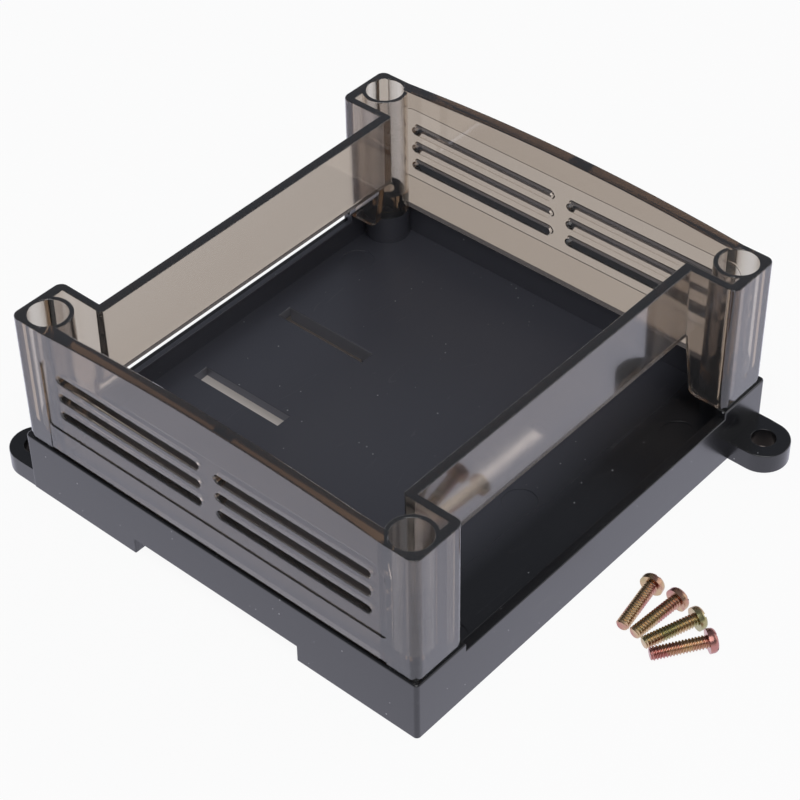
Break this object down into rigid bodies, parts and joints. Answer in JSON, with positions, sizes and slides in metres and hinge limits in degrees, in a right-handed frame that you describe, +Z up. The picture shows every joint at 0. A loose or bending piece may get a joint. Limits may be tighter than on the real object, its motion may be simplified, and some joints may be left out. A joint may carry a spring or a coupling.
{
  "type": "plastic enclosure",
  "caption": "Open-top rail-mount module enclosure: black base tray with screw ears and rail channel, smoke-clear cover with vented ends and corner screw wells, loose cover screws.",
  "frame": {"origin": "middle of the base's underside, midway between the two ear holes", "axes": "+Z up out of the open top, +X along the rail, +Y towards the side with the latch slots"},
  "size_m": [0.095, 0.125, 0.0413],
  "materials": {
    "base_plastic": "black, finely satin moulded surface",
    "smoke_plastic": "polished, clear with a warm smoke tint",
    "screw_zinc": "yellow passivated zinc plating with a faint rainbow tint"
  },
  "bodies": {
    "root": {"base": "base_plastic", "cover": "smoke_plastic", "cover_screws": "screw_zinc"}
  },
  "joints": []
}
